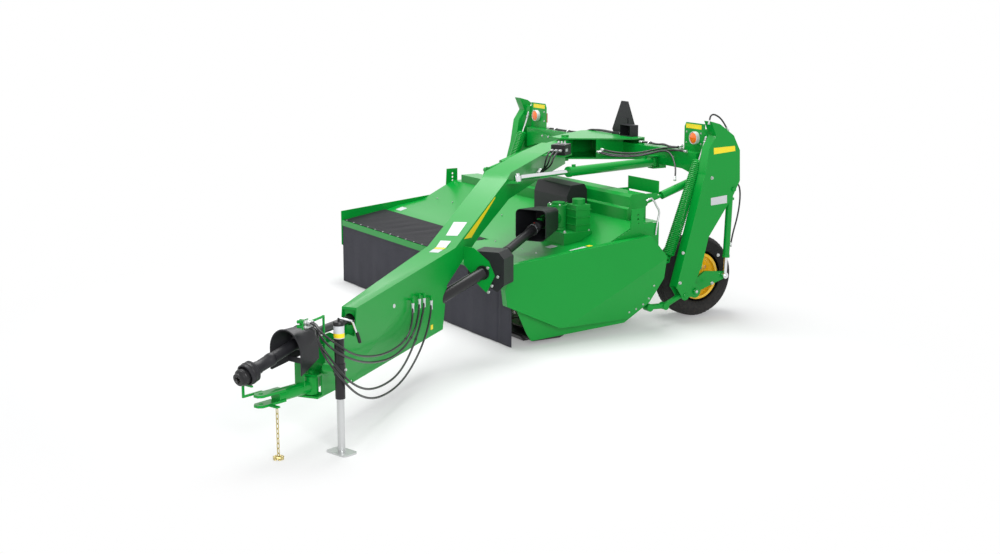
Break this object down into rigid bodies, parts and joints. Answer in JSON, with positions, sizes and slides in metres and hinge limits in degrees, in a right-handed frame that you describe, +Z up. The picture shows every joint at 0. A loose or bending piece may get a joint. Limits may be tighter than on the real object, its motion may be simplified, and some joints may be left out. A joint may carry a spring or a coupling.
{
  "type": "disc mower conditioner",
  "caption": "Towed side-pull disc mower conditioner: swinging tongue with driveline and hitch, shielded cutterbar and tined rotor, two lift wheels under an arched crossbeam.",
  "frame": {"origin": "bottom centre of the whole machine on the floor", "axes": "+X to the machine's left, -Y forward to the tractor, +Z up"},
  "size_m": [5.4784, 5.8125, 1.96],
  "materials": {
    "green_paint": "gloss",
    "yellow_paint": "gloss",
    "black_guard": "moulded, slightly grained",
    "black_paint": "satin",
    "tyre": "matt",
    "curtain": "coated fabric",
    "steel": "bare",
    "plated_rod": "bright",
    "zinc": "zinc plated",
    "lamp_amber": "clear moulded",
    "chain_zinc": "yellow zinc plated",
    "hose_rubber": "matt"
  },
  "bodies": {
    "carrier": {"carrier_beam": "green_paint", "leg_left": "green_paint", "leg_right": "green_paint", "float_springs": "green_paint", "lamps": "lamp_amber", "emblem": "black_guard", "header_frame": "green_paint", "header_beam": "green_paint", "header_deck": "green_paint", "end_shield_left": "green_paint", "end_shield_right": "green_paint", "front_curtain_left": "curtain", "cutterbar": "black_paint", "forming_shields": "green_paint", "links": "green_paint", "gearbox_base": "green_paint", "rear_cover": "black_guard"},
    "front_shield": {"fabric_cover": "curtain", "shield_rail": "green_paint", "front_curtain_right": "curtain"},
    "impeller": {"impeller": "steel"},
    "swathboard": {"swathboard": "green_paint"},
    "tongue": {"tongue_beam": "green_paint", "bracket_guard": "black_guard", "mid_shaft": "black_paint", "valve_block": "black_guard", "jack_tube": "black_paint", "hose_1": "hose_rubber", "hose_2": "hose_rubber", "hose_3": "hose_rubber", "hose_4": "hose_rubber"},
    "hitch": {"hitch_link": "green_paint", "pto_shaft": "black_paint", "safety_chain": "chain_zinc", "cone_guard": "black_guard"},
    "jack_leg": {"jack_leg": "zinc"},
    "swing_barrel": {"swing_barrel": "green_paint"},
    "swing_rod": {"swing_rod": "plated_rod"},
    "gearbox_head": {"gearbox_head": "green_paint", "gearbox_guard": "black_guard", "shaft_outer": "black_paint"},
    "shaft_inner": {"shaft_inner": "black_paint"},
    "disc_1": {"disc_1": "steel"},
    "disc_2": {"disc_2": "steel"},
    "disc_3": {"disc_3": "steel"},
    "disc_4": {"disc_4": "steel"},
    "disc_5": {"disc_5": "steel"},
    "disc_6": {"disc_6": "steel"},
    "disc_7": {"disc_7": "steel"},
    "disc_8": {"disc_8": "steel"},
    "wheel_arm_left": {"wheel_arm_left": "green_paint"},
    "wheel_left": {"rim_left": "yellow_paint", "tyre_left": "tyre"},
    "lift_barrel_left": {"lift_barrel_left": "green_paint"},
    "lift_rod_left": {"lift_rod_left": "plated_rod"},
    "wheel_arm_right": {"wheel_arm_right": "green_paint"},
    "wheel_right": {"rim_right": "yellow_paint", "tyre_right": "tyre"},
    "lift_barrel_right": {"lift_barrel_right": "green_paint"},
    "lift_rod_right": {"lift_rod_right": "plated_rod"}
  },
  "joints": [
    {"name": "tongue_swing", "type": "hinge", "parent": "carrier", "child": "tongue", "pos_m": [-0.9372, 1.96275, 1.52], "axis": [0, 0, 1], "range_deg": [-36.3, 0]},
    {"name": "hitch_swivel", "type": "hinge", "parent": "tongue", "child": "hitch", "pos_m": [2.26494, -2.26131, 0.405], "axis": [0, 0, 1], "range_deg": [-28, 20]},
    {"name": "jack_slide", "type": "slide", "parent": "tongue", "child": "jack_leg", "axis": [0, 0, 1], "range_m": [0, 0.35]},
    {"name": "front_shield", "type": "hinge", "parent": "carrier", "child": "front_shield", "pos_m": [-0.9872, 0.81875, 0.717], "axis": [-1, 0, 0], "range_deg": [0, 30]},
    {"name": "impeller_spin", "type": "hinge", "parent": "carrier", "child": "impeller", "pos_m": [-0.9872, 1.09275, 0.48], "axis": [1, 0, 0], "continuous": true},
    {"name": "swathboard_tilt", "type": "hinge", "parent": "carrier", "child": "swathboard", "pos_m": [-0.9872, 1.60775, 0.925], "axis": [1, 0, 0], "range_deg": [-15, 15]},
    {"name": "disc_1_spin", "type": "hinge", "parent": "carrier", "child": "disc_1", "pos_m": [0.4653, 0.66275, 0.128], "axis": [0, 0, 1], "continuous": true},
    {"name": "disc_2_spin", "type": "hinge", "parent": "carrier", "child": "disc_2", "pos_m": [0.0503, 0.66275, 0.128], "axis": [0, 0, 1], "continuous": true},
    {"name": "disc_3_spin", "type": "hinge", "parent": "carrier", "child": "disc_3", "pos_m": [-0.3647, 0.66275, 0.128], "axis": [0, 0, 1], "continuous": true},
    {"name": "disc_4_spin", "type": "hinge", "parent": "carrier", "child": "disc_4", "pos_m": [-0.7797, 0.66275, 0.128], "axis": [0, 0, 1], "continuous": true},
    {"name": "disc_5_spin", "type": "hinge", "parent": "carrier", "child": "disc_5", "pos_m": [-1.1947, 0.66275, 0.128], "axis": [0, 0, 1], "continuous": true},
    {"name": "disc_6_spin", "type": "hinge", "parent": "carrier", "child": "disc_6", "pos_m": [-1.6097, 0.66275, 0.128], "axis": [0, 0, 1], "continuous": true},
    {"name": "disc_7_spin", "type": "hinge", "parent": "carrier", "child": "disc_7", "pos_m": [-2.0247, 0.66275, 0.128], "axis": [0, 0, 1], "continuous": true},
    {"name": "disc_8_spin", "type": "hinge", "parent": "carrier", "child": "disc_8", "pos_m": [-2.4397, 0.66275, 0.128], "axis": [0, 0, 1], "continuous": true},
    {"name": "swing_barrel_turn", "type": "hinge", "parent": "carrier", "child": "swing_barrel", "pos_m": [-0.0872, 2.44475, 1.43], "axis": [0, 0, 1], "range_deg": [-27.4, 0.1]},
    {"name": "swing_rod_slide", "type": "slide", "parent": "swing_barrel", "child": "swing_rod", "axis": [0.1872, -0.9823, 0], "range_m": [-0.001, 0.518]},
    {"name": "gearbox_turn", "type": "hinge", "parent": "carrier", "child": "gearbox_head", "pos_m": [0.0928, 1.21275, 1.01], "axis": [0, 0, 1], "range_deg": [-54, 0.1]},
    {"name": "shaft_slide", "type": "slide", "parent": "gearbox_head", "child": "shaft_inner", "axis": [0.5319, -0.8233, -0.1982], "range_m": [-0.001, 0.591]},
    {"name": "lift_arm_left", "type": "hinge", "parent": "carrier", "child": "wheel_arm_left", "pos_m": [0.6788, 2.33075, 0.296], "axis": [-1, 0, 0], "range_deg": [0, 60]},
    {"name": "wheel_spin_left", "type": "hinge", "parent": "wheel_arm_left", "child": "wheel_left", "pos_m": [0.4678, 2.51275, 0.3935], "axis": [1, 0, 0], "continuous": true},
    {"name": "lift_barrel_turn_left", "type": "hinge", "parent": "carrier", "child": "lift_barrel_left", "pos_m": [0.7028, 2.75775, 1.236], "axis": [-1, 0, 0], "range_deg": [-0.1, 4.4]},
    {"name": "lift_rod_slide_left", "type": "slide", "parent": "lift_barrel_left", "child": "lift_rod_left", "axis": [0, -0.0394, -0.9992], "range_m": [-0.001, 0.402]},
    {"name": "lift_arm_right", "type": "hinge", "parent": "carrier", "child": "wheel_arm_right", "pos_m": [-2.6532, 2.33075, 0.296], "axis": [-1, 0, 0], "range_deg": [0, 60]},
    {"name": "wheel_spin_right", "type": "hinge", "parent": "wheel_arm_right", "child": "wheel_right", "pos_m": [-2.4422, 2.51275, 0.3935], "axis": [1, 0, 0], "continuous": true},
    {"name": "lift_barrel_turn_right", "type": "hinge", "parent": "carrier", "child": "lift_barrel_right", "pos_m": [-2.6772, 2.75775, 1.236], "axis": [-1, 0, 0], "range_deg": [-0.1, 4.4]},
    {"name": "lift_rod_slide_right", "type": "slide", "parent": "lift_barrel_right", "child": "lift_rod_right", "axis": [0, -0.0394, -0.9992], "range_m": [-0.001, 0.402]}
  ],
  "couplings": [
    {"joint": "swing_barrel_turn", "follows": "tongue_swing", "ratio": 0.75099},
    {"joint": "swing_rod_slide", "follows": "tongue_swing", "m_per_rad": -0.81385},
    {"joint": "gearbox_turn", "follows": "tongue_swing", "ratio": 1.4845},
    {"joint": "shaft_slide", "follows": "tongue_swing", "m_per_rad": -0.9304},
    {"joint": "lift_barrel_turn_left", "follows": "lift_arm_left", "ratio": 0.070568},
    {"joint": "lift_rod_slide_left", "follows": "lift_arm_left", "m_per_rad": 0.38245},
    {"joint": "lift_barrel_turn_right", "follows": "lift_arm_right", "ratio": 0.070568},
    {"joint": "lift_rod_slide_right", "follows": "lift_arm_right", "m_per_rad": 0.38245},
    {"joint": "disc_2_spin", "follows": "disc_1_spin", "ratio": -1},
    {"joint": "disc_3_spin", "follows": "disc_1_spin", "ratio": 1},
    {"joint": "disc_4_spin", "follows": "disc_1_spin", "ratio": -1},
    {"joint": "disc_5_spin", "follows": "disc_1_spin", "ratio": 1},
    {"joint": "disc_6_spin", "follows": "disc_1_spin", "ratio": -1},
    {"joint": "disc_7_spin", "follows": "disc_1_spin", "ratio": 1},
    {"joint": "disc_8_spin", "follows": "disc_1_spin", "ratio": -1}
  ]
}
